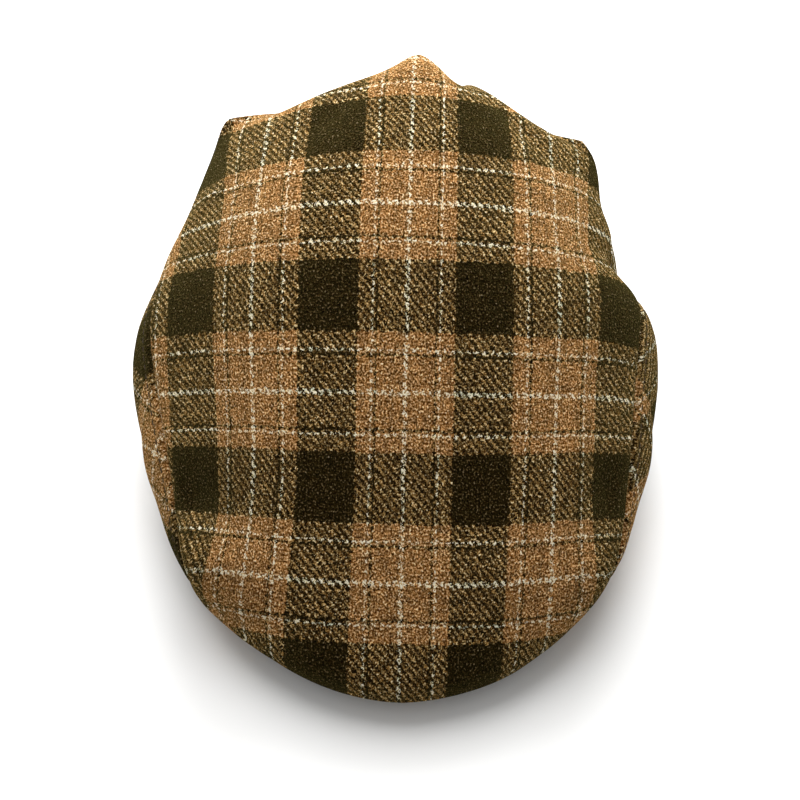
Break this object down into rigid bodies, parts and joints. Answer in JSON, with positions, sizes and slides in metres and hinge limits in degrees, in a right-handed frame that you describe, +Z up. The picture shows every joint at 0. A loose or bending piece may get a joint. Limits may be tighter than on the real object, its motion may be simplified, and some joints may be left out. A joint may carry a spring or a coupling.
{
  "type": "flat cap",
  "caption": "Soft flat cap of woven plaid tweed: long top panel down to a stiff curved brim, two side panels, lined crown and a sweatband round the head opening.",
  "frame": {"origin": "middle of the cap's footprint, on the plane that the rim of the head opening stands on", "axes": "+Z up through the crown, -Y towards the tip of the brim, +Y towards the back seam, +X to the right of someone who looks at the brim from the front"},
  "size_m": [0.2325, 0.2856, 0.1043],
  "materials": {
    "tweed": "woven wool tweed plaid, fuzzy and matte",
    "thread": "spun sewing thread",
    "board": "stiff brim board",
    "band": "grosgrain cotton band",
    "tape": "woven cotton stay tape",
    "lining": "smooth satin lining",
    "label": "woven damask label, blank"
  },
  "bodies": {
    "root": {"top_panel": "tweed", "side_panel_left": "tweed", "side_panel_right": "tweed", "under_brim": "tweed", "topstitch_left": "thread", "topstitch_right": "thread", "back_seam_topstitch": "thread", "brim_stitching": "thread", "sweatband_stitching": "thread", "brim_board": "board", "sweatband": "band", "headband_tape": "tape", "lining_top": "lining", "lining_side_left": "lining", "lining_side_right": "lining", "maker_label": "label", "size_label": "label"}
  },
  "joints": []
}
